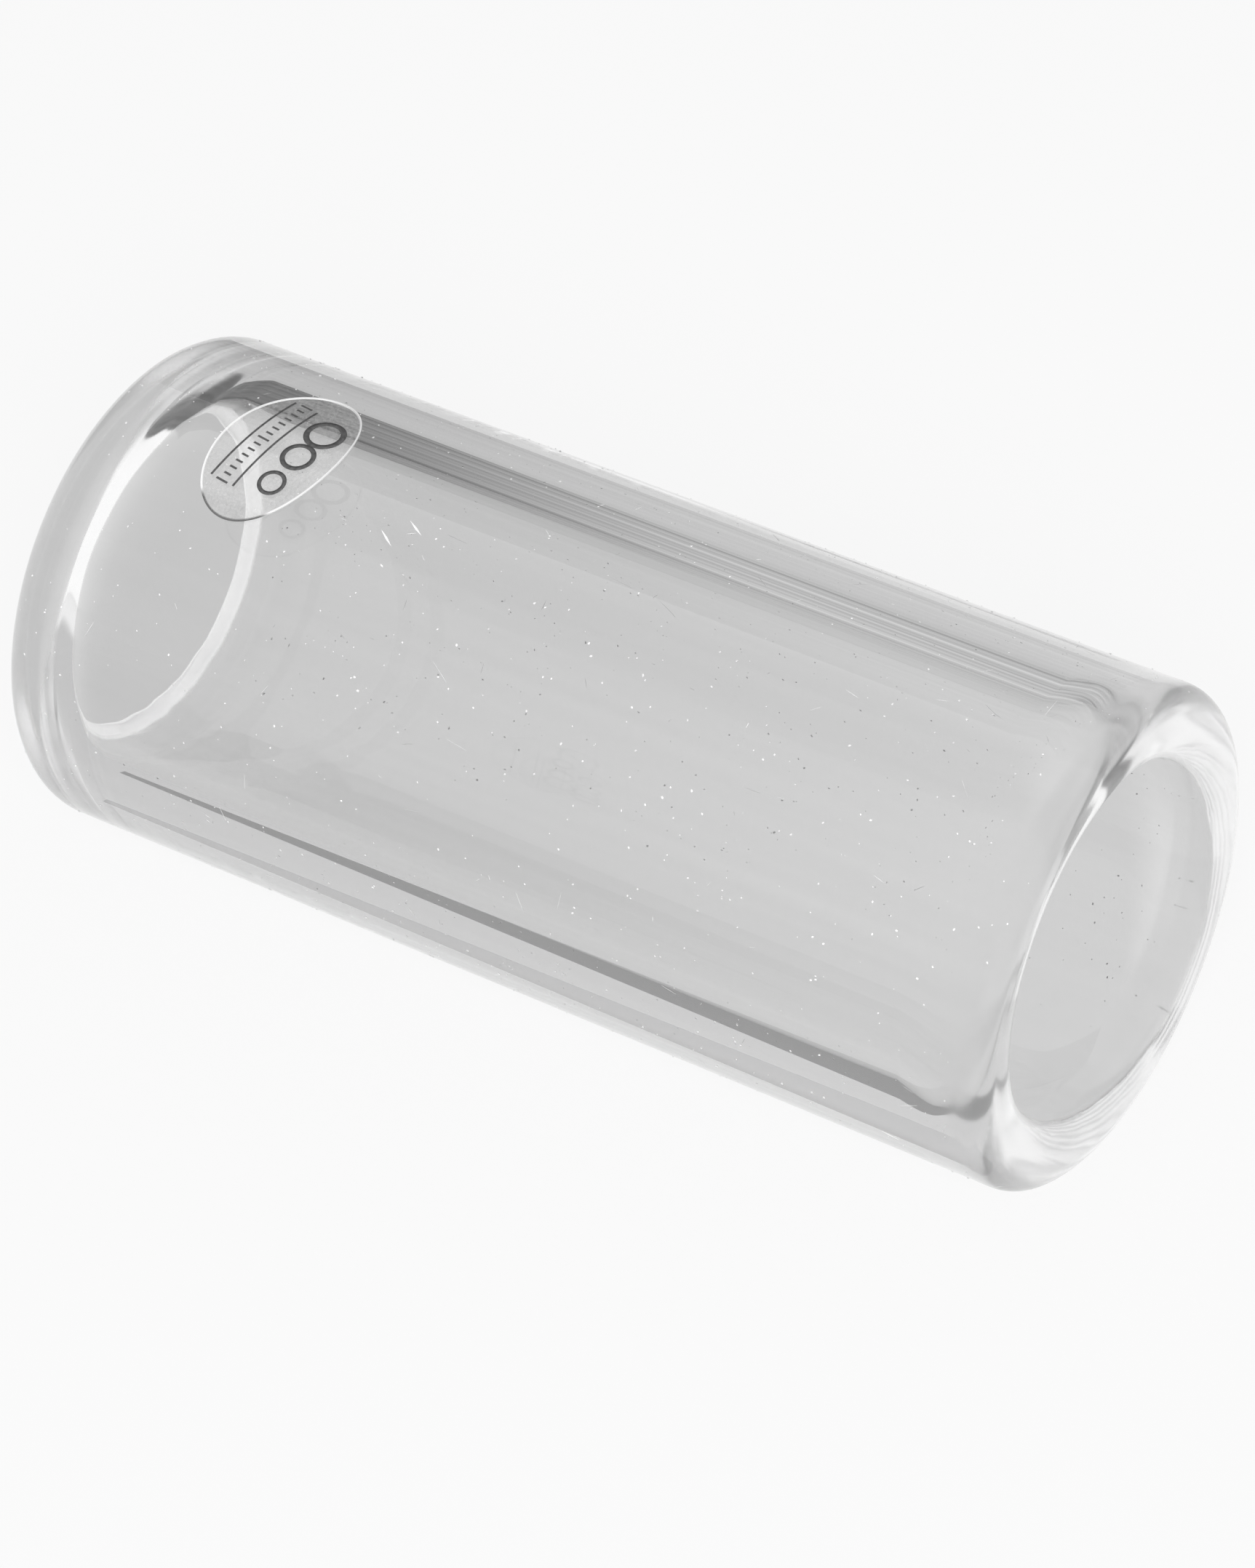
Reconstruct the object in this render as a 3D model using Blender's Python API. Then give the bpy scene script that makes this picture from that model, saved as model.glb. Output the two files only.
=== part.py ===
"""Glass guitar slide: a drawn glass tube with fire-polished ends and a clear oval label near one end.

The tube lies on its side along X, as it lies on a table, with the middle of its resting line at the
origin and its label on top. The labelled end is at -X. Metres, +Z up.
"""

import math

import bmesh
import bpy

# Tube: the bore takes the player's finger, and the wall is the same all round.
OUTER_DIAMETER = 0.029
BORE_DIAMETER = 0.022
TUBE_LENGTH = 0.064
# A drawn tube is never quite round: it lies still on the narrow flat that is lowest, under 0.1 mm deep.
RESTING_FLAT_WIDTH = 0.003

# Rims: flame rounds both edges of each cut end and leaves a narrow flat crown between the two rounds.
LABEL_END_OUTER_ROUND = 0.0022
LABEL_END_BORE_ROUND = 0.0009
PLAIN_END_OUTER_ROUND = 0.0016
PLAIN_END_BORE_ROUND = 0.0010
RIM_CROWN_LEAST = 0.0004

# Label: an oval of clear film, longer round the tube than along it, put on slightly askew.
LABEL_LENGTH_ROUND = 0.0108
LABEL_WIDTH_ALONG = 0.0072
LABEL_FROM_END = 0.01175
LABEL_TURN = math.radians(7.8)
LABEL_PLACE_ROUND = math.radians(-10.9)
FILM_THICKNESS = 0.00008
ADHESIVE_THICKNESS = 0.00004
LAYER_CLEARANCE = 0.00002

# Facets: how finely round shapes are cut into flats.
TUBE_SIDES = 96
OUTER_ROUND_STEPS = 6
BORE_ROUND_STEPS = 4
LABEL_SIDES = 48
LABEL_RINGS = 5

outer_radius = OUTER_DIAMETER / 2
bore_radius = BORE_DIAMETER / 2
wall = outer_radius - bore_radius
flat_half_angle = math.asin(RESTING_FLAT_WIDTH / 2 / outer_radius)
axis_height = outer_radius * math.cos(flat_half_angle)


def clear_material(name, colour, roughness, transmission, refraction):
    """A clear or hazy material: colour, roughness, how much light goes through, and how far it bends."""
    material = bpy.data.materials.new(name)
    material.use_nodes = True
    shader = material.node_tree.nodes["Principled BSDF"]
    shader.inputs["Base Color"].default_value = (*colour, 1.0)
    shader.inputs["Roughness"].default_value = roughness
    shader.inputs["Metallic"].default_value = 0.0
    shader.inputs["Transmission Weight"].default_value = transmission
    shader.inputs["IOR"].default_value = refraction
    return material


def add_piece(name, mesh_data, material):
    """Turn finished mesh data into a smooth-shaded, named object on the tube's axis."""
    mesh = bpy.data.meshes.new(name)
    mesh_data.to_mesh(mesh)
    mesh_data.free()
    mesh.materials.append(material)
    mesh.shade_smooth()
    mesh.set_sharp_from_angle(angle=math.radians(40))
    piece = bpy.data.objects.new(name, mesh)
    bpy.context.collection.objects.link(piece)
    piece.parent = tube_axis
    return piece


def rim_rounds(outer_round, bore_round):
    """A rim's two rounds, drawn in alike where the wall has no room for both and the crown between."""
    share = min(1.0, (wall - RIM_CROWN_LEAST) / (outer_round + bore_round))
    return outer_round * share, bore_round * share


def quarter_round(centre_along, centre_radius, size, quarter, steps):
    """Points (along, radius) of a quarter circle, anticlockwise, in the given quarter of the turn."""
    angles = [math.pi / 2 * (quarter + step / steps) for step in range(steps + 1)]
    return [(centre_along + size * math.cos(a), centre_radius + size * math.sin(a)) for a in angles]


def tube_profile():
    """The wall's cut outline at one side of the axis, as (along, radius) points, anticlockwise."""
    half = TUBE_LENGTH / 2
    plain_outer, plain_bore = rim_rounds(PLAIN_END_OUTER_ROUND, PLAIN_END_BORE_ROUND)
    label_outer, label_bore = rim_rounds(LABEL_END_OUTER_ROUND, LABEL_END_BORE_ROUND)
    outside = OUTER_ROUND_STEPS
    inside = BORE_ROUND_STEPS
    return (
        quarter_round(half - plain_outer, outer_radius - plain_outer, plain_outer, 0, outside)
        + quarter_round(label_outer - half, outer_radius - label_outer, label_outer, 1, outside)
        + quarter_round(label_bore - half, bore_radius + label_bore, label_bore, 2, inside)
        + quarter_round(half - plain_bore, bore_radius + plain_bore, plain_bore, 3, inside)
    )


def glass_tube():
    """Spin the wall's outline from one edge of the resting flat to the other, then bridge the flat."""
    mesh_data = bmesh.new()
    corners = [
        mesh_data.verts.new((along, radius * math.sin(flat_half_angle), -radius * math.cos(flat_half_angle)))
        for along, radius in tube_profile()
    ]
    outline = [mesh_data.edges.new((corners[i - 1], corners[i])) for i in range(len(corners))]
    spun = bmesh.ops.spin(
        mesh_data,
        geom=corners + outline,
        cent=(0, 0, 0),
        axis=(1, 0, 0),
        angle=2 * (math.pi - flat_half_angle),
        steps=TUBE_SIDES,
    )
    far_outline = [part for part in spun["geom_last"] if isinstance(part, bmesh.types.BMEdge)]
    bmesh.ops.bridge_loops(mesh_data, edges=outline + far_outline)
    bmesh.ops.recalc_face_normals(mesh_data, faces=mesh_data.faces)
    glass = clear_material("clear_glass", (0.86, 0.87, 0.87), 0.02, 1.0, 1.474)
    return add_piece("glass_tube", mesh_data, glass)


def label_point(ring, side, radius):
    """A point of the oval, given by its ring and side, wrapped round the tube at a radius."""
    turn = 2 * math.pi * side / LABEL_SIDES
    long_way = LABEL_LENGTH_ROUND / 2 * ring / LABEL_RINGS * math.cos(turn)
    short_way = LABEL_WIDTH_ALONG / 2 * ring / LABEL_RINGS * math.sin(turn)
    around = long_way * math.cos(LABEL_TURN) - short_way * math.sin(LABEL_TURN)
    along = long_way * math.sin(LABEL_TURN) + short_way * math.cos(LABEL_TURN)
    angle = LABEL_PLACE_ROUND + around / outer_radius
    from_middle = along + LABEL_FROM_END - TUBE_LENGTH / 2
    return from_middle, radius * math.sin(angle), radius * math.cos(angle)


def oval_sheet(mesh_data, radius):
    """One curved face of a label layer, as rings round its middle. Returns the vertices of its rim."""
    middle = mesh_data.verts.new(label_point(0, 0, radius))
    inner = None
    for ring in range(1, LABEL_RINGS + 1):
        here = [mesh_data.verts.new(label_point(ring, side, radius)) for side in range(LABEL_SIDES)]
        for side in range(LABEL_SIDES):
            if inner is None:
                mesh_data.faces.new((middle, here[side - 1], here[side]))
            else:
                mesh_data.faces.new((inner[side - 1], here[side - 1], here[side], inner[side]))
        inner = here
    return inner


def label_layer(name, inside_radius, thickness, material):
    """A thin oval layer between two curved faces, closed round its cut edge."""
    mesh_data = bmesh.new()
    under = oval_sheet(mesh_data, inside_radius)
    over = oval_sheet(mesh_data, inside_radius + thickness)
    for side in range(LABEL_SIDES):
        mesh_data.faces.new((under[side - 1], under[side], over[side], over[side - 1]))
    bmesh.ops.recalc_face_normals(mesh_data, faces=mesh_data.faces)
    return add_piece(name, mesh_data, material)


for old_object in list(bpy.data.objects):
    bpy.data.objects.remove(old_object)

tube_axis = bpy.data.objects.new("tube_axis", None)
tube_axis.location = (0, 0, axis_height)
bpy.context.collection.objects.link(tube_axis)

glass_tube()
adhesive_inside = outer_radius + LAYER_CLEARANCE
label_layer(
    "label_adhesive",
    adhesive_inside,
    ADHESIVE_THICKNESS,
    clear_material("tacky_adhesive", (0.88, 0.88, 0.87), 0.25, 0.9, 1.47),
)
film_inside = adhesive_inside + ADHESIVE_THICKNESS + LAYER_CLEARANCE
label_layer(
    "label_film",
    film_inside,
    FILM_THICKNESS,
    clear_material("clear_film", (0.9, 0.9, 0.9), 0.12, 0.9, 1.5),
)
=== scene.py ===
import math

import bmesh
import bpy
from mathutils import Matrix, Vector


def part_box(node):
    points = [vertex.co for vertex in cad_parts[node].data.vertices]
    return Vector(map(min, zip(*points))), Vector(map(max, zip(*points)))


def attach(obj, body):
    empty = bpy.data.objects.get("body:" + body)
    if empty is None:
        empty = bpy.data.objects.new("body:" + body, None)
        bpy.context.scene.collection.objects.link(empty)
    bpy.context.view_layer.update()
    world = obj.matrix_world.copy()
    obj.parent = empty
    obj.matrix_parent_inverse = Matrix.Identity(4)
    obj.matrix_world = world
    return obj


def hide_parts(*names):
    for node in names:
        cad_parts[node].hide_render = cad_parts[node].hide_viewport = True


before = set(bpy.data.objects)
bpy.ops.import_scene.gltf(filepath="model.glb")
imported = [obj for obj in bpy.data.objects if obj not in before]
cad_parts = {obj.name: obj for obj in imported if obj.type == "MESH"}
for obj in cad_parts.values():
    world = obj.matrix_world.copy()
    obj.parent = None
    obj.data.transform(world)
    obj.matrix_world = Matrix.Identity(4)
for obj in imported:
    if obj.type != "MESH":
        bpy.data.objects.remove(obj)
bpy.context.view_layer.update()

# Glass tube. The slide itself: heavy-wall clear tube, drawn, cut to length and turned in a flame until both
# edges of each end run round. The flame also draws the bore in to a low bead behind each mouth. One outline
# of the wall is swept round the axis. Drawing leaves faint lines along the tube, the flame soft swells.
tube_low, tube_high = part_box("glass_tube")
TUBE_LENGTH = tube_high.x - tube_low.x
OUTER_DIAMETER = 0.029
BORE_DIAMETER = 0.022
RESTING_FLAT_WIDTH = 0.003
outer_radius = OUTER_DIAMETER / 2
axis_height = math.sqrt(outer_radius**2 - (RESTING_FLAT_WIDTH / 2) ** 2)
GLASS_REFRACTION = 1.474
SKIN_TINT_LEAST = 0.93
SKIN_TINT_MOST = 0.98
SKIN_STREAKS = (25.0, 700.0, 700.0)
SKIN_DEPTH = 0.0004
SKIN_FULL_DEPTH = 0.0001
RIM_TINT = 1.0
RIM_ROUGHNESS = 0.16
RIM_ROUGH_TO = 0.0014
RIM_ROUGH_FADE = 0.0030
DRAW_LINE_STRETCH = 0.012
BEAD_FADES_AT = 0.2
CLOSE = 1e-7
# Most of a noise texture lies between low and high. The gain brings it to about one each way of its middle.
NOISE_LOW = 0.3
NOISE_HIGH = 0.7
NOISE_MIDDLE = 0.5
NOISE_GAIN = 4.0


def start_tree(name, inputs):
    """A Geometry Nodes tree with inputs {name: (socket type, value)}. Returns the tree and its two ends."""
    tree = bpy.data.node_groups.new(name, "GeometryNodeTree")
    tree.interface.new_socket("Geometry", in_out="INPUT", socket_type="NodeSocketGeometry")
    tree.interface.new_socket("Geometry", in_out="OUTPUT", socket_type="NodeSocketGeometry")
    for label, (kind, value) in inputs.items():
        socket = tree.interface.new_socket(label, in_out="INPUT", socket_type=kind)
        if kind != "NodeSocketMaterial":
            socket.default_value = value
    return tree, tree.nodes.new("NodeGroupInput").outputs, tree.nodes.new("NodeGroupOutput").inputs


def add_node(tree, kind, links, **settings):
    """A node with its settings, its inputs linked or set by {socket name or number: output or value}."""
    node = tree.nodes.new(kind)
    for setting, value in settings.items():
        setattr(node, setting, value)
    for socket, source in links.items():
        if isinstance(source, bpy.types.NodeSocket):
            tree.links.new(source, node.inputs[socket])
        else:
            node.inputs[socket].default_value = source
    return node


def end_tree(tree, result, geometry, material):
    """End a tree with plain geometry in one material."""
    real = add_node(tree, "GeometryNodeRealizeInstances", {"Geometry": geometry}).outputs[0]
    painted = add_node(tree, "GeometryNodeSetMaterial", {"Geometry": real, "Material": material})
    tree.links.new(painted.outputs[0], result[0])


def grow(name, tree, inputs, base=None):
    """Run a tree on a new object, keep the result as plain mesh data at the origin, and drop the modifier."""
    host = bpy.data.objects.new(name, base or bpy.data.meshes.new(name))
    bpy.context.collection.objects.link(host)
    modifier = host.modifiers.new(name, "NODES")
    modifier.node_group = tree
    for item in tree.interface.items_tree:
        if item.in_out == "INPUT" and item.name in inputs:
            modifier[item.identifier] = inputs[item.name][1]
    bpy.context.view_layer.update()
    grown = host.evaluated_get(bpy.context.evaluated_depsgraph_get())
    mesh = bpy.data.meshes.new_from_object(grown)
    host.modifiers.remove(modifier)
    host.data = mesh
    mesh.name = name
    return host


def math_node(tree, operation, first, second=0.0):
    return add_node(tree, "ShaderNodeMath", {0: first, 1: second}, operation=operation).outputs[0]


def plus(tree, first, second):
    return math_node(tree, "ADD", first, second)


def minus(tree, first, second):
    return math_node(tree, "SUBTRACT", first, second)


def times(tree, first, second):
    return math_node(tree, "MULTIPLY", first, second)


def over(tree, first, second):
    return math_node(tree, "DIVIDE", first, second)


def map_range(tree, value, from_low, from_high, to_low, to_high, kind="LINEAR"):
    links = {"Value": value, "From Min": from_low, "From Max": from_high, "To Min": to_low, "To Max": to_high}
    return add_node(tree, "ShaderNodeMapRange", links, interpolation_type=kind).outputs[0]


def choose(tree, test, when_false, when_true):
    links = {"Switch": test, "False": when_false, "True": when_true}
    return add_node(tree, "GeometryNodeSwitch", links, input_type="FLOAT").outputs[0]


def more_than(tree, first, second):
    links = {"A": first, "B": second}
    return add_node(tree, "FunctionNodeCompare", links, operation="GREATER_THAN").outputs[0]


def axes_of(tree, vector):
    return add_node(tree, "ShaderNodeSeparateXYZ", {0: vector}).outputs


def vector_of(tree, **axes):
    return add_node(tree, "ShaderNodeCombineXYZ", axes).outputs[0]


def vector_math(tree, operation, *vectors):
    node = add_node(tree, "ShaderNodeVectorMath", dict(enumerate(vectors)), operation=operation)
    return node.outputs["Value" if operation == "LENGTH" else "Vector"]


def scaled(tree, vector, factor):
    links = {0: vector, "Scale": factor}
    return add_node(tree, "ShaderNodeVectorMath", links, operation="SCALE").outputs["Vector"]


def noise(tree, vector, scale, detail):
    links = {"Vector": vector, "Scale": scale, "Detail": detail}
    return add_node(tree, "ShaderNodeTexNoise", links).outputs[0]


def ripple(tree, vector, pitch, depth, detail):
    """A wave about zero, with a pitch and a depth."""
    wave = minus(tree, noise(tree, vector, over(tree, 1.0, pitch), detail), NOISE_MIDDLE)
    return times(tree, wave, times(tree, depth, NOISE_GAIN))


def move(tree, geometry, **where):
    return add_node(tree, "GeometryNodeSetPosition", {"Geometry": geometry, **where}).outputs[0]


def start_material(name, **values):
    """A node material with the given plain values set on its Principled shader."""
    material = bpy.data.materials.new(name)
    material.use_nodes = True
    shader = material.node_tree.nodes["Principled BSDF"]
    for socket, value in values.items():
        shader.inputs[socket.replace("_", " ")].default_value = value
    return material, material.node_tree, shader


def own_place(paint):
    return add_node(paint, "ShaderNodeTexCoord", {}).outputs["Object"]


def paint_grey(paint, shader, tone):
    grey = add_node(paint, "ShaderNodeCombineColor", {0: tone, 1: tone, 2: tone}).outputs[0]
    paint.links.new(grey, shader.inputs["Base Color"])


def face_outward(piece):
    mesh_data = bmesh.new()
    mesh_data.from_mesh(piece.data)
    bmesh.ops.recalc_face_normals(mesh_data, faces=mesh_data.faces)
    mesh_data.to_mesh(piece.data)
    mesh_data.free()


glass, paint, shader = start_material("clear_glass", IOR=GLASS_REFRACTION, Transmission_Weight=1.0)
spot = own_place(paint)
place = axes_of(paint, spot)
# Only the outer skin takes the faint streaky grey of drawn glass; bore and rims stay bright.
off_axis = vector_of(paint, X=place["Y"], Y=minus(paint, place["Z"], axis_height))
radius = vector_math(paint, "LENGTH", off_axis)
drawn = noise(paint, vector_math(paint, "MULTIPLY", spot, SKIN_STREAKS), scale=1.0, detail=3.0)
skin_tint = map_range(paint, drawn, NOISE_LOW, NOISE_HIGH, SKIN_TINT_LEAST, SKIN_TINT_MOST)
skin_from, skin_to = outer_radius - SKIN_DEPTH, outer_radius - SKIN_FULL_DEPTH
paint_grey(paint, shader, map_range(paint, radius, skin_from, skin_to, RIM_TINT, skin_tint))
# The flame leaves the rims a little rippled, too finely to model: they blur what is seen through them.
from_end = minus(paint, TUBE_LENGTH / 2, math_node(paint, "ABSOLUTE", place["X"]))
blur = map_range(paint, from_end, RIM_ROUGH_TO, RIM_ROUGH_FADE, RIM_ROUGHNESS, 0.0, "SMOOTHSTEP")
paint.links.new(blur, shader.inputs["Roughness"])

tube_inputs = {
    "Length": ("NodeSocketFloat", TUBE_LENGTH),
    "Outer Diameter": ("NodeSocketFloat", OUTER_DIAMETER),
    "Bore Diameter": ("NodeSocketFloat", BORE_DIAMETER),
    "Label End Outer Round": ("NodeSocketFloat", 0.0022),
    "Label End Bore Round": ("NodeSocketFloat", 0.0012),
    "Label End Bead": ("NodeSocketFloat", 0.0011),
    "Plain End Outer Round": ("NodeSocketFloat", 0.0016),
    "Plain End Bore Round": ("NodeSocketFloat", 0.0015),
    "Plain End Bead": ("NodeSocketFloat", 0.0008),
    "Label End Bead Top": ("NodeSocketFloat", 0.0019),
    "Plain End Bead Top": ("NodeSocketFloat", 0.0024),
    "Bead Run": ("NodeSocketFloat", 0.0028),
    "Bead Fall": ("NodeSocketFloat", 1.7),
    "Axis Height": ("NodeSocketFloat", axis_height),
    "Sides": ("NodeSocketInt", 600),
    "Steps Along": ("NodeSocketInt", 36),
    "Steps Per Round": ("NodeSocketInt", 16),
    "Rim Depth": ("NodeSocketFloat", 0.0022),
    "Crowding": ("NodeSocketFloat", 2.0),
    "Draw Line Depth": ("NodeSocketFloat", 0.000012),
    "Draw Line Pitch": ("NodeSocketFloat", 0.0034),
    "Flame Swell": ("NodeSocketFloat", 0.00001),
    "Flame Swell Pitch": ("NodeSocketFloat", 0.005),
    "Flame Full To": ("NodeSocketFloat", 0.002),
    "Flame Ends At": ("NodeSocketFloat", 0.007),
    "Glass": ("NodeSocketMaterial", glass),
}
tree, given, result = start_tree("swept_wall", tube_inputs)
outer, bore = given["Outer Diameter"], given["Bore Diameter"]
wall = times(tree, minus(tree, outer, bore), 0.5)
middle_radius = times(tree, plus(tree, outer, bore), 0.25)
half_wall = times(tree, wall, 0.5)
half_length = times(tree, given["Length"], 0.5)
corners = {"Width": wall, "Height": given["Length"]}
outline = add_node(tree, "GeometryNodeCurvePrimitiveQuadrilateral", corners).outputs[0]
position = add_node(tree, "GeometryNodeInputPosition", {}).outputs[0]
place = axes_of(tree, position)
is_outer = more_than(tree, place["X"], 0.0)
is_plain = more_than(tree, 0.0, place["Y"])
plain_round = choose(tree, is_outer, given["Plain End Bore Round"], given["Plain End Outer Round"])
label_round = choose(tree, is_outer, given["Label End Bore Round"], given["Label End Outer Round"])
corner_round = choose(tree, is_plain, label_round, plain_round)
rounding = {"Curve": outline, "Radius": corner_round, "Count": given["Steps Per Round"]}
rounded = add_node(tree, "GeometryNodeFilletCurve", rounding, mode="POLY").outputs[0]
# A long side starts where a round ends: on the wall, at a corner whose radial and axial signs differ.
from_wall = minus(tree, half_wall, math_node(tree, "ABSOLUTE", place["X"]))
on_wall = math_node(tree, "LESS_THAN", from_wall, CLOSE)
signs_differ = math_node(tree, "LESS_THAN", times(tree, place["X"], place["Y"]), 0.0)
cuts = times(tree, times(tree, on_wall, signs_differ), given["Steps Along"])
divided = add_node(tree, "GeometryNodeSubdivideCurve", {"Curve": rounded, "Cuts": cuts}).outputs[0]
# The steps along are crowded towards the rims, where the bore draws in.
from_end = minus(tree, half_length, math_node(tree, "ABSOLUTE", place["Y"]))
behind_rim = minus(tree, half_length, given["Rim Depth"])
share = over(tree, minus(tree, from_end, given["Rim Depth"]), behind_rim)
share = math_node(tree, "POWER", math_node(tree, "MAXIMUM", share, 0.0), given["Crowding"])
crowded = plus(tree, given["Rim Depth"], times(tree, share, behind_rim))
crowded = minus(tree, half_length, math_node(tree, "MINIMUM", crowded, from_end))
crowded = times(tree, crowded, math_node(tree, "SIGN", place["Y"]))
spaced = move(tree, divided, Position=vector_of(tree, X=place["X"], Y=crowded))
# The bead stands at its full height from the rim to its top, then falls away into the bore.
bead = choose(tree, is_plain, given["Label End Bead"], given["Plain End Bead"])
bead_top = choose(tree, is_plain, given["Label End Bead Top"], given["Plain End Bead Top"])
bead_left = map_range(tree, from_end, bead_top, plus(tree, bead_top, given["Bead Run"]), 1.0, 0.0)
bead_here = times(tree, bead, math_node(tree, "POWER", bead_left, given["Bead Fall"]))
across_wall = over(tree, place["X"], half_wall)
bore_side = map_range(tree, across_wall, BEAD_FADES_AT, -1.0, 0.0, 1.0, "SMOOTHSTEP")
inward = times(tree, times(tree, bead_here, bore_side), -1.0)
beaded = move(tree, spaced, Offset=vector_of(tree, X=inward))
circle = {"Resolution": given["Sides"], "Radius": middle_radius}
path = add_node(tree, "GeometryNodeCurvePrimitiveCircle", circle, mode="RADIUS").outputs[0]
path = add_node(tree, "GeometryNodeSetCurveNormal", {"Curve": path}, mode="Z_UP").outputs[0]
swept = add_node(tree, "GeometryNodeCurveToMesh", {"Curve": path, "Profile Curve": beaded}).outputs[0]
merged = add_node(tree, "GeometryNodeMergeByDistance", {"Geometry": swept, "Distance": CLOSE}).outputs[0]
# Draw lines fade out towards the rims, where the flame's soft swells take over.
outward = vector_math(tree, "NORMALIZE", vector_math(tree, "MULTIPLY", position, (1.0, 1.0, 0.0)))
stretched = vector_math(tree, "MULTIPLY", position, (1.0, 1.0, DRAW_LINE_STRETCH))
lines = ripple(tree, stretched, given["Draw Line Pitch"], given["Draw Line Depth"], detail=2.0)
swell = ripple(tree, position, given["Flame Swell Pitch"], given["Flame Swell"], detail=1.0)
rim_distance = minus(tree, half_length, math_node(tree, "ABSOLUTE", place["Z"]))
flame = map_range(tree, rim_distance, given["Flame Full To"], given["Flame Ends At"], 1.0, 0.0, "SMOOTHSTEP")
wave = plus(tree, times(tree, lines, minus(tree, 1.0, flame)), times(tree, swell, flame))
wavy = move(tree, merged, Offset=scaled(tree, outward, wave))
laying = {
    "Geometry": wavy,
    "Translation": vector_of(tree, Z=given["Axis Height"]),
    "Rotation": (0.0, math.pi / 2, 0.0),
}
laid = add_node(tree, "GeometryNodeTransform", laying).outputs[0]
smooth = add_node(tree, "GeometryNodeSetShadeSmooth", {"Geometry": laid}).outputs[0]
end_tree(tree, result, smooth, given["Glass"])

tube = grow("tube", tree, tube_inputs)
face_outward(tube)
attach(tube, "root")
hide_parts("glass_tube")

# Label adhesive. A thin layer of clear tacky gum, rolled onto the back of the label film. It holds the film
# to the glass, and looks a little grainy where it has not wetted the glass all over.
LABEL_LENGTH_ROUND = 0.0108
LABEL_WIDTH_ALONG = 0.0072
LABEL_FROM_END = 0.01175
LABEL_TURN = math.radians(7.8)
LABEL_PLACE_ROUND = math.radians(-10.9)
LABEL_SIDES = 128
LABEL_RINGS = 14
LABEL_INSIDE_EDGE = 0.97
LABEL_CORNER = math.radians(40)
ADHESIVE_THICKNESS = 0.00004
LAYER_CLEARANCE = 0.00002
GUM_COLOUR = (0.82, 0.82, 0.81, 1.0)
GUM_GRAIN = 7000.0
GUM_GRAIN_LOW = 0.42
GUM_GRAIN_HIGH = 0.68
GUM_CLEAREST = 0.005
GUM_CLOUDIEST = 0.14

wrap_inputs = {
    "Outer Radius": ("NodeSocketFloat", outer_radius),
    "Axis Height": ("NodeSocketFloat", axis_height),
    "Place Round": ("NodeSocketFloat", LABEL_PLACE_ROUND),
    "Place Along": ("NodeSocketFloat", LABEL_FROM_END - TUBE_LENGTH / 2),
    "Turn": ("NodeSocketFloat", LABEL_TURN),
    "Finish": ("NodeSocketMaterial", None),
}
# Lays a flat shape round the tube: X of the flat shape runs round it, Y along it, Z out from the glass.
wrap_tree, given, result = start_tree("wrap_round_tube", wrap_inputs)
position = add_node(wrap_tree, "GeometryNodeInputPosition", {}).outputs[0]
turning = {"Vector": position, "Angle": given["Turn"]}
turned = add_node(wrap_tree, "ShaderNodeVectorRotate", turning, rotation_type="Z_AXIS").outputs[0]
place = axes_of(wrap_tree, turned)
angle = plus(wrap_tree, over(wrap_tree, place["X"], given["Outer Radius"]), given["Place Round"])
out = plus(wrap_tree, given["Outer Radius"], place["Z"])
sideways = times(wrap_tree, out, math_node(wrap_tree, "SINE", angle))
upward = times(wrap_tree, out, math_node(wrap_tree, "COSINE", angle))
upward = plus(wrap_tree, upward, given["Axis Height"])
along = plus(wrap_tree, place["Y"], given["Place Along"])
wrapped = move(wrap_tree, given["Geometry"], Position=vector_of(wrap_tree, X=along, Y=sideways, Z=upward))
end_tree(wrap_tree, result, wrapped, given["Finish"])


def flat_oval(name, inside, thickness):
    """A flat oval layer, from inside to inside + thickness out from the glass, with a narrow edge ring."""
    fractions = [LABEL_INSIDE_EDGE * ring / LABEL_RINGS for ring in range(1, LABEL_RINGS + 1)]
    fractions.append(1.0)
    mesh_data = bmesh.new()
    edge_mark = mesh_data.verts.layers.float.new("cut_edge")
    rims = []
    for height in (inside, inside + thickness):
        middle_vert = mesh_data.verts.new((0.0, 0.0, height))
        inner = None
        for fraction in fractions:
            here = []
            for side in range(LABEL_SIDES):
                turn = 2 * math.pi * side / LABEL_SIDES
                long_way = LABEL_LENGTH_ROUND / 2 * fraction * math.cos(turn)
                short_way = LABEL_WIDTH_ALONG / 2 * fraction * math.sin(turn)
                here.append(mesh_data.verts.new((long_way, short_way, height)))
                here[-1][edge_mark] = float(fraction == 1.0)
            for side in range(LABEL_SIDES):
                if inner is None:
                    mesh_data.faces.new((middle_vert, here[side - 1], here[side]))
                else:
                    mesh_data.faces.new((inner[side - 1], here[side - 1], here[side], inner[side]))
            inner = here
        rims.append(inner)
    for side in range(LABEL_SIDES):
        mesh_data.faces.new((rims[0][side - 1], rims[0][side], rims[1][side], rims[1][side - 1]))
    bmesh.ops.recalc_face_normals(mesh_data, faces=mesh_data.faces)
    mesh = bpy.data.meshes.new(name)
    mesh_data.to_mesh(mesh)
    mesh_data.free()
    mesh.shade_smooth()
    mesh.set_sharp_from_angle(angle=LABEL_CORNER)
    return mesh


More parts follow.
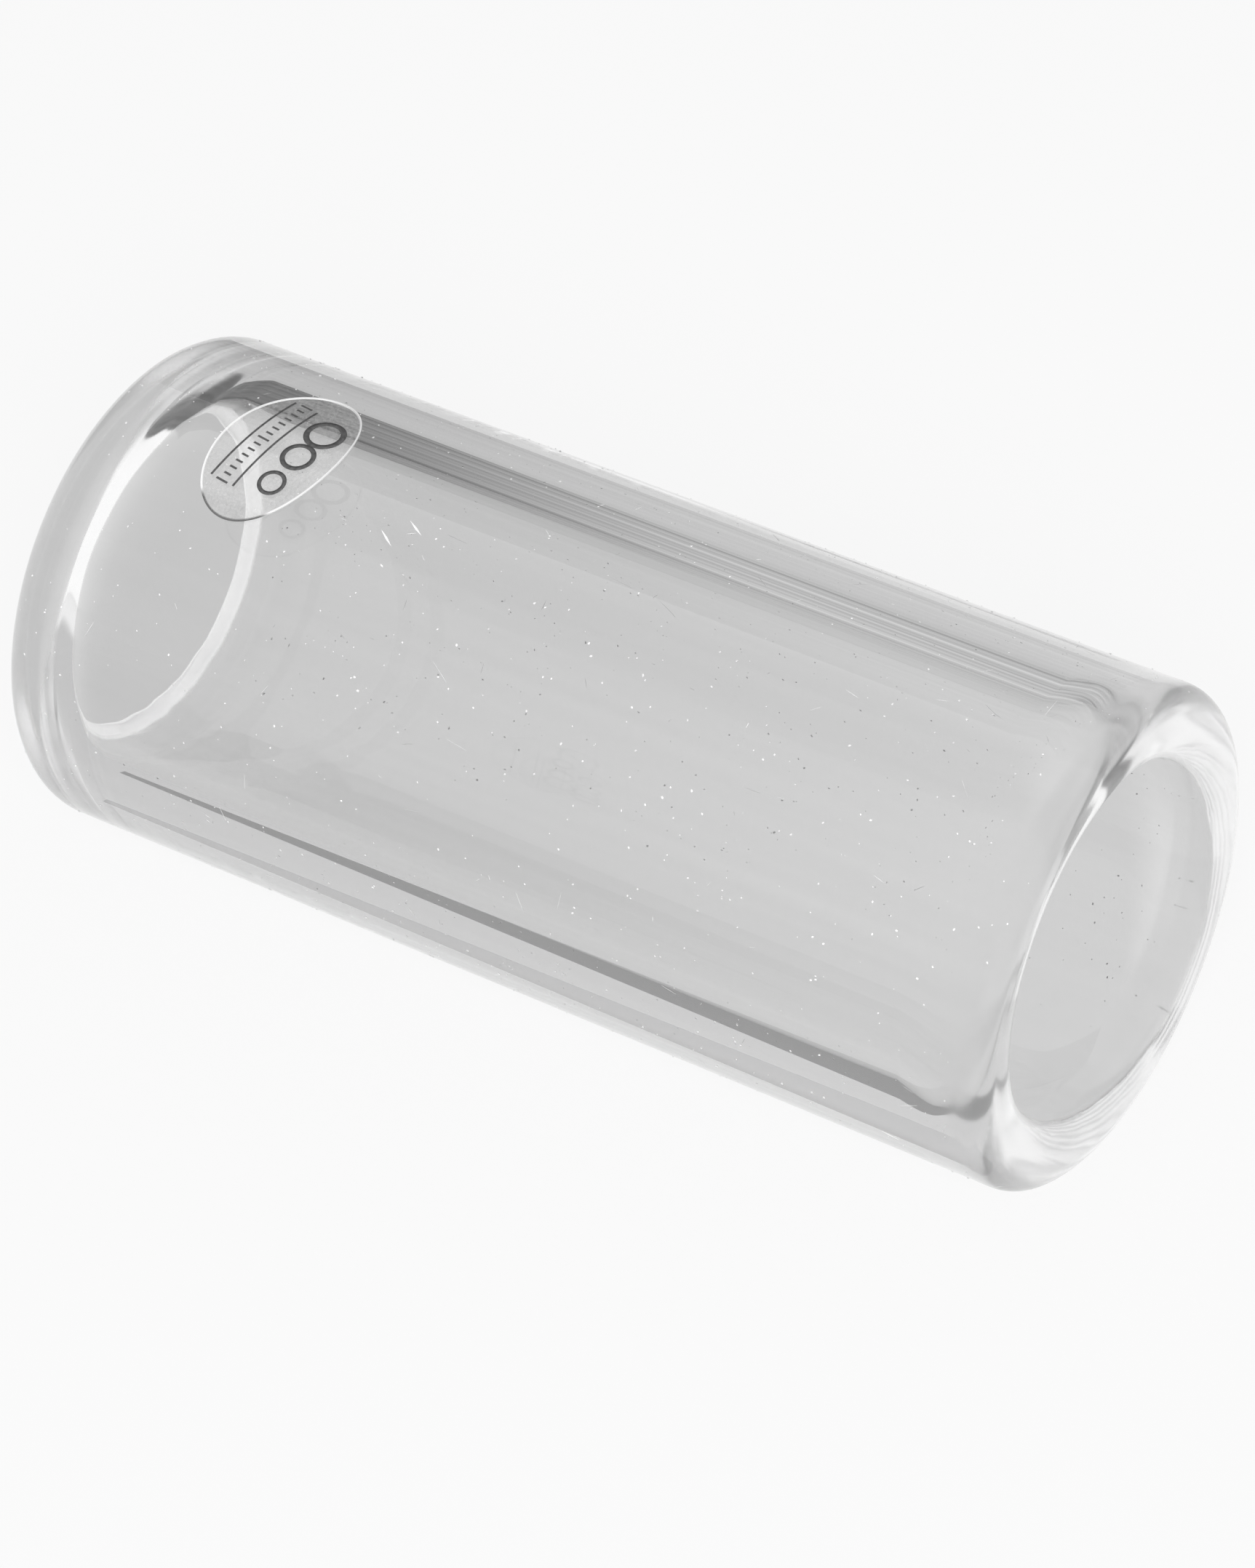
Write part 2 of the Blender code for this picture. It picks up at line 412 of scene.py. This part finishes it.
gum, paint, shader = start_material("tacky_adhesive", Base_Color=GUM_COLOUR, Roughness=0.45)
grain = noise(paint, own_place(paint), GUM_GRAIN, detail=3.0)
cloud = map_range(paint, grain, GUM_GRAIN_LOW, GUM_GRAIN_HIGH, GUM_CLEAREST, GUM_CLOUDIEST)
paint.links.new(cloud, shader.inputs["Alpha"])
adhesive_inside = LAYER_CLEARANCE
flat = flat_oval("adhesive_flat", adhesive_inside, ADHESIVE_THICKNESS)
adhesive = grow("adhesive", wrap_tree, wrap_inputs | {"Finish": ("NodeSocketMaterial", gum)}, flat)
face_outward(adhesive)
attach(adhesive, "root")
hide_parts("label_adhesive")

# Label film. A clear plastic oval pressed onto the gum, die-cut. Its edge ring is painted near white and near
# opaque, a painted highlight of a cut edge catching the light as a fine white line. Towards the front its
# edge has let go a little, and there the edge ring is painted dark, a painted shadow under the lifted edge.
FILM_THICKNESS = 0.00008
FILM_HAZE_GRAIN = 900.0
FILM_CLEAREST = 0.012
FILM_HAZIEST = 0.035
CUT_EDGE_FADE = 0.6
CUT_EDGE_SOLID = 0.8
CUT_EDGE_HIGHLIGHT_TONE = 0.95
LIFTED_EDGE_SHADOW_TONE = 0.12
LIFTED_EDGE_SHADOW_FROM = -0.0066
LIFTED_EDGE_SHADOW_TO = -0.0071
sheet, paint, shader = start_material("clear_film", Roughness=0.14)
spot = own_place(paint)
# Painted highlight: the cut edge ring is made near opaque, in a near white tone.
edge = add_node(paint, "ShaderNodeAttribute", {}, attribute_name="cut_edge").outputs["Fac"]
edge = map_range(paint, edge, 0.0, CUT_EDGE_FADE, 0.0, 1.0)
haze = noise(paint, spot, FILM_HAZE_GRAIN, detail=4.0)
haze = map_range(paint, haze, NOISE_LOW, NOISE_HIGH, FILM_CLEAREST, FILM_HAZIEST)
solid = math_node(paint, "MAXIMUM", haze, times(paint, edge, CUT_EDGE_SOLID))
paint.links.new(solid, shader.inputs["Alpha"])
# Painted shadow: towards the front the edge tone turns dark, for the shade under the lifted edge.
lifted_edge_shadow = map_range(paint, axes_of(paint, spot)["Y"], LIFTED_EDGE_SHADOW_FROM, LIFTED_EDGE_SHADOW_TO, 0.0, 1.0, "SMOOTHSTEP")
paint_grey(paint, shader, map_range(paint, lifted_edge_shadow, 0.0, 1.0, CUT_EDGE_HIGHLIGHT_TONE, LIFTED_EDGE_SHADOW_TONE))
film_inside = adhesive_inside + ADHESIVE_THICKNESS + LAYER_CLEARANCE
flat = flat_oval("film_flat", film_inside, FILM_THICKNESS)
film = grow("film", wrap_tree, wrap_inputs | {"Finish": ("NodeSocketMaterial", sheet)}, flat)
face_outward(film)
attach(film, "root")
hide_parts("label_film")

# Label print. Dark grey ink screened on the film in one pass and a little worn: a row of ticks between two
# rules, over three plain rings that grow from one to the next. It is far thinner than the film.
INK_THICKNESS = 0.000012
INK_CLEARANCE = 0.000004
INK_GRAIN = 5000.0
INK_WEAR_HIGH = 0.75
INK_DARKEST = 0.045
INK_PALEST = 0.11
ink, paint, shader = start_material("label_ink", Roughness=0.6)
wear = noise(paint, own_place(paint), INK_GRAIN, detail=3.0)
paint_grey(paint, shader, map_range(paint, wear, NOISE_LOW, INK_WEAR_HIGH, INK_DARKEST, INK_PALEST))
print_inputs = {
    "Tick Count": ("NodeSocketInt", 15),
    "Tall Tick Every": ("NodeSocketInt", 7),
    "Short Tick Share": ("NodeSocketFloat", 0.6),
    "Row Length": ("NodeSocketFloat", 0.0070),
    "Row Place": ("NodeSocketFloat", -0.00125),
    "Tick Length": ("NodeSocketFloat", 0.0008),
    "Tick Width": ("NodeSocketFloat", 0.00013),
    "Rule Gap": ("NodeSocketFloat", 0.0008),
    "Rule Steps": ("NodeSocketInt", 40),
    "Ring Count": ("NodeSocketInt", 3),
    "Ring Row Length": ("NodeSocketFloat", 0.0044),
    "Ring Row Place": ("NodeSocketFloat", 0.00135),
    "Ring Radius": ("NodeSocketFloat", 0.00072),
    "Ring Growth": ("NodeSocketFloat", 0.00016),
    "Ring Line": ("NodeSocketFloat", 0.00024),
    "Ring Sides": ("NodeSocketInt", 40),
    "Ink Height": ("NodeSocketFloat", film_inside + FILM_THICKNESS + INK_CLEARANCE + INK_THICKNESS / 2),
    "Ink Thickness": ("NodeSocketFloat", INK_THICKNESS),
    "Ink": ("NodeSocketMaterial", ink),
}
tree, given, result = start_tree("label_marks", print_inputs)


def row_of_points(count, length, row_place):
    half = times(tree, length, 0.5)
    start = vector_of(tree, X=times(tree, half, -1.0), Y=row_place)
    ends = {"Start": start, "End": vector_of(tree, X=half, Y=row_place)}
    line = add_node(tree, "GeometryNodeCurvePrimitiveLine", ends, mode="POINTS").outputs[0]
    links = {"Curve": line, "Count": count}
    return add_node(tree, "GeometryNodeCurveToPoints", links, mode="COUNT").outputs[0]


def block(width, depth, steps):
    size = vector_of(tree, X=width, Y=depth, Z=given["Ink Thickness"])
    return add_node(tree, "GeometryNodeMeshCube", {"Size": size, "Vertices X": steps}).outputs["Mesh"]


def set_out(points, mark, scale):
    links = {"Points": points, "Instance": mark, "Scale": scale}
    return add_node(tree, "GeometryNodeInstanceOnPoints", links).outputs[0]


index = add_node(tree, "GeometryNodeInputIndex", {}).outputs[0]
tick_spots = row_of_points(given["Tick Count"], given["Row Length"], given["Row Place"])
is_tall = math_node(tree, "LESS_THAN", math_node(tree, "MODULO", index, given["Tall Tick Every"]), 0.5)
tick_share = map_range(tree, is_tall, 0.0, 1.0, given["Short Tick Share"], 1.0)
tick = block(given["Tick Width"], given["Tick Length"], steps=2)
ticks = set_out(tick_spots, tick, vector_of(tree, X=1.0, Y=tick_share, Z=1.0))
rule = block(given["Row Length"], given["Tick Width"], given["Rule Steps"])
rules = []
for side in (-1.0, 1.0):
    rule_place = vector_of(tree, Y=plus(tree, given["Row Place"], times(tree, given["Rule Gap"], side)))
    links = {"Geometry": rule, "Translation": rule_place}
    rules.append(add_node(tree, "GeometryNodeTransform", links).outputs[0])
ring_spots = row_of_points(given["Ring Count"], given["Ring Row Length"], given["Ring Row Place"])
circle = {"Resolution": given["Ring Sides"], "Radius": given["Ring Radius"]}
ring_path = add_node(tree, "GeometryNodeCurvePrimitiveCircle", circle).outputs[0]
ring_path = add_node(tree, "GeometryNodeSetCurveNormal", {"Curve": ring_path}, mode="Z_UP").outputs[0]
corners = {"Width": given["Ring Line"], "Height": given["Ink Thickness"]}
ring_section = add_node(tree, "GeometryNodeCurvePrimitiveQuadrilateral", corners).outputs[0]
sweep = {"Curve": ring_path, "Profile Curve": ring_section}
ring = add_node(tree, "GeometryNodeCurveToMesh", sweep).outputs[0]
growth = over(tree, given["Ring Growth"], given["Ring Radius"])
ring_scale = plus(tree, times(tree, index, growth), 1.0)
rings = set_out(ring_spots, ring, vector_of(tree, X=ring_scale, Y=ring_scale, Z=1.0))
joined = add_node(tree, "GeometryNodeJoinGeometry", {})
for marks in (ticks, *rules, rings):
    tree.links.new(marks, joined.inputs[0])
real = add_node(tree, "GeometryNodeRealizeInstances", {"Geometry": joined.outputs[0]}).outputs[0]
raising = {"Geometry": real, "Translation": vector_of(tree, Z=given["Ink Height"])}
raised = add_node(tree, "GeometryNodeTransform", raising).outputs[0]
wrapping = {"Geometry": raised, "Finish": given["Ink"]}
laid = add_node(tree, "GeometryNodeGroup", wrapping, node_tree=wrap_tree).outputs[0]
end_tree(tree, result, laid, given["Ink"])
label_print = grow("label_print", tree, print_inputs)
face_outward(label_print)
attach(label_print, "root")

# Dust and lint. Pale specks on the outer skin, as on any glass out of a pocket, with short hairs among them.
# They cling to the glass by themselves, all thinner than a sheet of paper, and keep off the underside.
DUST_GRAIN = 400.0
DUST_DARKEST = 0.55
DUST_PALEST = 0.95
DUST_SKIN_DEPTH = 0.0005
DUST_LOWEST = 0.001
SPECK_LENGTH_SHARE = 1.4
SPECK_HEIGHT_SHARE = 0.4
SMALL_SIZE_POWER = 2.0
SPECK_SEED = 3
HAIR_SEED = 5
SPECK_SIZE_SEED = 11
HAIR_SIZE_SEED = 12
lint, paint, shader = start_material("dust", Roughness=0.8)
shade = noise(paint, own_place(paint), DUST_GRAIN, detail=1.0)
paint_grey(paint, shader, map_range(paint, shade, NOISE_LOW, NOISE_HIGH, DUST_DARKEST, DUST_PALEST))
dust_inputs = {
    "Specks Per Area": ("NodeSocketFloat", 300000.0),
    "Speck Least": ("NodeSocketFloat", 0.000025),
    "Speck Most": ("NodeSocketFloat", 0.00007),
    "Hairs Per Area": ("NodeSocketFloat", 22000.0),
    "Hair Least": ("NodeSocketFloat", 0.00015),
    "Hair Most": ("NodeSocketFloat", 0.0009),
    "Hair Half Width": ("NodeSocketFloat", 0.000012),
    "Clear Of Glass": ("NodeSocketFloat", 0.00002),
    "Dust": ("NodeSocketMaterial", lint),
}
tree, given, result = start_tree("scattered_dust", dust_inputs)
position = add_node(tree, "GeometryNodeInputPosition", {}).outputs[0]
from_axis = vector_math(tree, "SUBTRACT", position, (0.0, 0.0, axis_height))
from_axis = vector_math(tree, "LENGTH", vector_math(tree, "MULTIPLY", from_axis, (0.0, 1.0, 1.0)))
outer_skin = math_node(tree, "GREATER_THAN", from_axis, outer_radius - DUST_SKIN_DEPTH)
off_floor = math_node(tree, "GREATER_THAN", axes_of(tree, position)["Z"], DUST_LOWEST)
dusty = times(tree, outer_skin, off_floor)


def random_value(most, seed):
    links = {2: 0.0, 3: most, "Seed": seed}
    return add_node(tree, "FunctionNodeRandomValue", links, data_type="FLOAT").outputs[1]


def random_size(seed, least, most):
    """A size between two, more often a small one."""
    share = math_node(tree, "POWER", random_value(1.0, seed), SMALL_SIZE_POWER)
    return map_range(tree, share, 0.0, 1.0, least, most)


def scatter(density, seed, scale):
    """Grains laid flat on the glass at random places, each turned at random about the way out."""
    spread = {"Mesh": given["Geometry"], "Selection": dusty, "Density": density, "Seed": seed}
    spots = add_node(tree, "GeometryNodeDistributePointsOnFaces", spread).outputs
    face_out = add_node(tree, "FunctionNodeAlignRotationToVector", {"Vector": spots["Normal"]}, axis="Z")
    spin = vector_of(tree, Z=random_value(2 * math.pi, seed + 1))
    spin = add_node(tree, "FunctionNodeEulerToRotation", {0: spin}).outputs[0]
    turns = {0: face_out.outputs[0], 1: spin}
    turned = add_node(tree, "FunctionNodeRotateRotation", turns, rotation_space="LOCAL").outputs[0]
    lifted = move(tree, spots["Points"], Offset=scaled(tree, spots["Normal"], given["Clear Of Glass"]))
    grain = add_node(tree, "GeometryNodeMeshIcoSphere", {"Radius": 1.0, "Subdivisions": 1}).outputs["Mesh"]
    laying = {"Points": lifted, "Instance": grain, "Rotation": turned, "Scale": scale}
    return add_node(tree, "GeometryNodeInstanceOnPoints", laying).outputs[0]


speck = random_size(SPECK_SIZE_SEED, given["Speck Least"], given["Speck Most"])
speck_length = times(tree, speck, SPECK_LENGTH_SHARE)
speck_height = times(tree, speck, SPECK_HEIGHT_SHARE)
speck_size = vector_of(tree, X=speck_length, Y=speck, Z=speck_height)
hair = random_size(HAIR_SIZE_SEED, given["Hair Least"], given["Hair Most"])
hair_size = vector_of(tree, X=hair, Y=given["Hair Half Width"], Z=given["Hair Half Width"])
joined = add_node(tree, "GeometryNodeJoinGeometry", {})
tree.links.new(scatter(given["Specks Per Area"], SPECK_SEED, speck_size), joined.inputs[0])
tree.links.new(scatter(given["Hairs Per Area"], HAIR_SEED, hair_size), joined.inputs[0])
end_tree(tree, result, joined.outputs[0], given["Dust"])
dust = grow("dust", tree, dust_inputs, tube.data.copy())
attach(dust, "root")

# Nicks. Three short bright scores in the outer skin beside the label, from knocks against something hard.
# Each is a sliver with two points, wrapped round the tube: start and end as (round, along), and its width.
NICKS = [
    ((-0.00534, -0.01181), (-0.00610, -0.01066), 0.00013),
    ((-0.00418, -0.01064), (-0.00486, -0.00943), 0.00013),
    ((-0.00728, -0.01068), (-0.00742, -0.01040), 0.00009),
]
NICK_HEIGHT = 0.00001
NICK_CLEARANCE = 0.00003
NICK_GRAIN = 3000.0
NICK_DARKEST = 0.85
NICK_PALEST = 1.0
score, paint, shader = start_material("nick", Roughness=0.5)
shade = noise(paint, own_place(paint), NICK_GRAIN, detail=2.0)
paint_grey(paint, shader, map_range(paint, shade, NOISE_LOW, NOISE_HIGH, NICK_DARKEST, NICK_PALEST))
mesh_data = bmesh.new()
rise = Vector((0.0, 0.0, NICK_HEIGHT))
for start, end, width in NICKS:
    start, end = Vector((*start, NICK_CLEARANCE)), Vector((*end, NICK_CLEARANCE))
    across = (end - start).cross(Vector((0.0, 0.0, 1.0))).normalized() * width / 2
    middle = (start + end) / 2
    tips = [mesh_data.verts.new(tip) for tip in (start, end)]
    ridge = [mesh_data.verts.new(middle + way) for way in (across, rise, -across, -rise)]
    for side in range(len(ridge)):
        for tip in tips:
            mesh_data.faces.new((tip, ridge[side - 1], ridge[side]))
bmesh.ops.recalc_face_normals(mesh_data, faces=mesh_data.faces)
flat = bpy.data.meshes.new("nicks_flat")
mesh_data.to_mesh(flat)
mesh_data.free()
nick_inputs = wrap_inputs | {"Finish": ("NodeSocketMaterial", score)}
nick_inputs |= {name: ("NodeSocketFloat", 0.0) for name in ("Place Round", "Place Along", "Turn")}
nicks = grow("nicks", wrap_tree, nick_inputs, flat)
face_outward(nicks)
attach(nicks, "root")

# Floor. A sheet of pale paper on the table. In the open it is white and keeps a little of the tube's shadow.
# Through the glass it glows with painted shade instead: darker to the left, a painted shadow before the tube,
# darker far behind it, white far off in front.
FLOOR_DROP = 0.0001
FLOOR_RADIUS = 3.0
FLOOR_SIDES = 64
FLOOR_COLOUR = 0.64
FLOOR_LEVEL_LEFT = 0.655
FLOOR_LEVEL_RIGHT = 0.78
FLOOR_LEFT_TO_RIGHT = (-0.045, 0.016)
FLOOR_FRONT_SHADE = 0.8
FLOOR_FRONT_FADE = (-0.010, -0.003)
FLOOR_BACK_SHADE = 0.9
FLOOR_BACK_FADE = (0.028, 0.045)
FLOOR_FAR_LEVEL = 1.0
FLOOR_FAR_FADE = (0.09, 0.13)
FLOOR_FAR_BACK_LEVEL = 0.62
FLOOR_FAR_BACK_FADE = (0.02, 0.08)
FLOOR_SEEN_SHARE = 0.7
FLOOR_VIEW_LEVEL = 1.0
FLOOR_VIEW_SHARE = 0.88
WHITE = (1.0, 1.0, 1.0, 1.0)
floor_mesh = bpy.data.meshes.new("floor")
floor_data = bmesh.new()
bmesh.ops.create_circle(floor_data, cap_ends=True, segments=FLOOR_SIDES, radius=FLOOR_RADIUS)
floor_data.to_mesh(floor_mesh)
floor_data.free()
floor = bpy.data.objects.new("floor", floor_mesh)
floor.location.z = -FLOOR_DROP
bpy.context.collection.objects.link(floor)
paper_grey = (FLOOR_COLOUR, FLOOR_COLOUR, FLOOR_COLOUR, 1.0)
paper_and_painted_shade, paint, shader = start_material(
    "grey_paper_and_painted_shade", Base_Color=paper_grey, Roughness=0.9, Specular_IOR_Level=0.0
)
ray = add_node(paint, "ShaderNodeLightPath", {}).outputs
spot = own_place(paint)
place = axes_of(paint, spot)
# A ray that has just left the glass counts as glossy too, so mirrored rays are the glossy ones that did not.
mirrored = minus(paint, ray["Is Glossy Ray"], ray["Is Transmission Ray"])
open_view = math_node(paint, "MAXIMUM", ray["Is Camera Ray"], mirrored)
open_share = times(paint, open_view, FLOOR_VIEW_SHARE)
share = plus(paint, open_share, times(paint, ray["Is Transmission Ray"], FLOOR_SEEN_SHARE))
# Painted shade, for the glow that rays from the glass see: darker to the left, before the tube and far behind
# it.
level = map_range(paint, place["X"], *FLOOR_LEFT_TO_RIGHT, FLOOR_LEVEL_LEFT, FLOOR_LEVEL_RIGHT)
front = map_range(paint, place["Y"], *FLOOR_FRONT_FADE, FLOOR_FRONT_SHADE, 1.0, "SMOOTHSTEP")
back = map_range(paint, place["Y"], *FLOOR_BACK_FADE, 1.0, FLOOR_BACK_SHADE, "SMOOTHSTEP")
level = times(paint, level, times(paint, front, back))
far = map_range(paint, place["Y"], *FLOOR_FAR_BACK_FADE, FLOOR_FAR_LEVEL, FLOOR_FAR_BACK_LEVEL, "SMOOTHSTEP")
level = map_range(paint, vector_math(paint, "LENGTH", spot), *FLOOR_FAR_FADE, level, far, "SMOOTHSTEP")
level = map_range(paint, open_view, 0.0, 1.0, level, FLOOR_VIEW_LEVEL)
glow = add_node(paint, "ShaderNodeEmission", {"Color": WHITE, "Strength": level}).outputs[0]
both = add_node(paint, "ShaderNodeMixShader", {0: share, 1: shader.outputs[0], 2: glow}).outputs[0]
paint.links.new(both, paint.nodes["Material Output"].inputs["Surface"])
floor_mesh.materials.append(paper_and_painted_shade)

# Back wall. A glowing grey sheet hung behind the table, darker to the left and with painted shade of soft
# level folds. The upper side of the glass shows it as dark streaks, a painted reflection. It glows at its own
# level, though it is no lamp, and only rays from the glass meet it.
WALL_BACK = 0.22
WALL_FOOT = 0.004
WALL_TOP = 0.30
WALL_HALF_WIDTH = 0.9
WALL_LEVEL = 0.5
WALL_DARK = 0.14
WALL_DARK_TO = -0.16
WALL_DARK_FADE = -0.09
WALL_FOLDS = (2.0, 0.0, 90.0)
WALL_FOLD_LEAST = 0.55
WALL_FOLD_MOST = 1.5


def only_in_glass(card):
    card.visible_camera = False
    card.visible_diffuse = False
    card.visible_shadow = False


wall_mesh = bpy.data.meshes.new("back_wall")
wall_corners = [
    (-WALL_HALF_WIDTH, WALL_BACK, WALL_FOOT),
    (WALL_HALF_WIDTH, WALL_BACK, WALL_FOOT),
    (WALL_HALF_WIDTH, WALL_BACK, WALL_TOP),
    (-WALL_HALF_WIDTH, WALL_BACK, WALL_TOP),
]
wall_mesh.from_pydata(wall_corners, [], [(0, 1, 2, 3)])
back_wall = bpy.data.objects.new("back_wall", wall_mesh)
bpy.context.collection.objects.link(back_wall)
painted_reflection_sheet, paint, shader = start_material(
    "painted_reflection_wall", Base_Color=(0.0, 0.0, 0.0, 1.0), Roughness=1.0, Specular_IOR_Level=0.0, Emission_Color=WHITE
)
spot = own_place(paint)
# Painted reflection: its glow is darker to the left and streaked with painted fold shade.
level = map_range(
    paint, axes_of(paint, spot)["X"], WALL_DARK_TO, WALL_DARK_FADE, WALL_DARK, WALL_LEVEL, "SMOOTHSTEP"
)
painted_fold_shade = noise(paint, vector_math(paint, "MULTIPLY", spot, WALL_FOLDS), scale=1.0, detail=2.0)
painted_fold_shade = map_range(paint, painted_fold_shade, NOISE_LOW, NOISE_HIGH, WALL_FOLD_LEAST, WALL_FOLD_MOST)
paint.links.new(times(paint, level, painted_fold_shade), shader.inputs["Emission Strength"])
wall_mesh.materials.append(painted_reflection_sheet)
only_in_glass(back_wall)

# Low strip of painted contact shadow. A dark strip on the table under the tube's front, narrow at the left
# and wide at the right, tilted towards the camera, seen only by the glass. The lower side of the glass shows
# it as one dark line, painted shadow under the tube.
SHADOW_STRIP_PLACE = (-0.0135, 0.0011)
SHADOW_STRIP_TILT = math.radians(22)
SHADOW_STRIP_HALF_WIDTHS = {-0.03: 0.0004, 0.034: 0.0026}
SHADOW_STRIP_COLOUR = (0.22, 0.22, 0.22, 1.0)
shadow_strip_corners = []
for along, half_width in SHADOW_STRIP_HALF_WIDTHS.items():
    for way in (-half_width, half_width):
        across = SHADOW_STRIP_PLACE[0] + way * math.cos(SHADOW_STRIP_TILT)
        upward = SHADOW_STRIP_PLACE[1] + way * math.sin(SHADOW_STRIP_TILT)
        shadow_strip_corners.append((along, across, upward))
shadow_strip_mesh = bpy.data.meshes.new("shadow_strip")
shadow_strip_mesh.from_pydata(shadow_strip_corners, [], [(0, 2, 3, 1)])
shadow_strip = bpy.data.objects.new("shadow_strip", shadow_strip_mesh)
bpy.context.collection.objects.link(shadow_strip)
# Painted shadow: its dark grey stands in for the tube's contact shadow.
shadow_strip_mesh.materials.append(start_material("painted_contact_shadow", Base_Color=SHADOW_STRIP_COLOUR, Roughness=1.0)[0])
only_in_glass(shadow_strip)

# World. The white room round the table, which gives soft light from everywhere at one level. Camera and
# glass see it as plain white.
AMBIENT = 0.4
SKY = 1.0
world = bpy.data.worlds.new("studio")
bpy.context.scene.world = world
world.use_nodes = True
paint = world.node_tree
ray = add_node(paint, "ShaderNodeLightPath", {}).outputs
seen = math_node(paint, "MAXIMUM", ray["Is Glossy Ray"], ray["Is Transmission Ray"])
seen = math_node(paint, "MAXIMUM", seen, ray["Is Camera Ray"])
background = paint.nodes["Background"]
background.inputs["Color"].default_value = WHITE
paint.links.new(map_range(paint, seen, 0.0, 1.0, AMBIENT, SKY), background.inputs["Strength"])

# Key. A round soft lamp before the table and to the right. With the room it lights the table at a level
# where a colour looks as it is written. It is not seen in the glass.
KEY_AZIMUTH = math.radians(33)
KEY_ELEVATION = math.radians(33)
KEY_DISTANCE = 0.9
KEY_SIZE = 0.35
KEY_LEVEL = 0.6
tube_middle = Vector((0.0, 0.0, axis_height))


def look_from(azimuth, elevation):
    """The way from the tube to a lamp or a camera, turned from the front to the right, and up."""
    level_reach = math.cos(elevation)
    return Vector((math.sin(azimuth) * level_reach, -math.cos(azimuth) * level_reach, math.sin(elevation)))


lamp = bpy.data.lights.new("key", "AREA")
lamp.shape = "DISK"
lamp.size = KEY_SIZE
lamp.energy = KEY_LEVEL * math.pi**2 * KEY_DISTANCE**2 / math.sin(KEY_ELEVATION)
key = bpy.data.objects.new("key", lamp)
toward_key = look_from(KEY_AZIMUTH, KEY_ELEVATION)
key.location = tube_middle + KEY_DISTANCE * toward_key
key.rotation_mode = "QUATERNION"
key.rotation_quaternion = (-toward_key).to_track_quat("-Z", "Y")
bpy.context.collection.objects.link(key)
key.visible_camera = False
key.visible_glossy = False
key.visible_transmission = False

# Camera. It stands before the plain end and to the right, looking down on the tube through a long lens. The
# glass needs many bounces of light, or its rims go black.
VIEW_AZIMUTH = math.radians(32.88)
VIEW_ELEVATION = math.radians(37.42)
VIEW_DEPTH = 0.3724
LENS_MM = 154.06
AIM_RIGHT = 0.000667
AIM_DOWN = 0.001897
CLIP_NEAR = 0.01
CLIP_FAR = 20.0
LIGHT_BOUNCES = 48
forward = -look_from(VIEW_AZIMUTH, VIEW_ELEVATION)
turn = forward.to_track_quat("-Z", "Y")
right = turn @ Vector((1.0, 0.0, 0.0))
up = turn @ Vector((0.0, 1.0, 0.0))
lens = bpy.data.cameras.new("camera")
lens.lens = LENS_MM
lens.clip_start = CLIP_NEAR
lens.clip_end = CLIP_FAR
camera = bpy.data.objects.new("camera", lens)
camera.location = tube_middle + AIM_RIGHT * right - AIM_DOWN * up - VIEW_DEPTH * forward
camera.rotation_mode = "QUATERNION"
camera.rotation_quaternion = turn
bpy.context.collection.objects.link(camera)
scene = bpy.context.scene
scene.camera = camera
scene.view_settings.view_transform = "Standard"
scene.cycles.max_bounces = LIGHT_BOUNCES
scene.cycles.glossy_bounces = LIGHT_BOUNCES
scene.cycles.transmission_bounces = LIGHT_BOUNCES
scene.cycles.caustics_refractive = True
scene.cycles.caustics_reflective = False
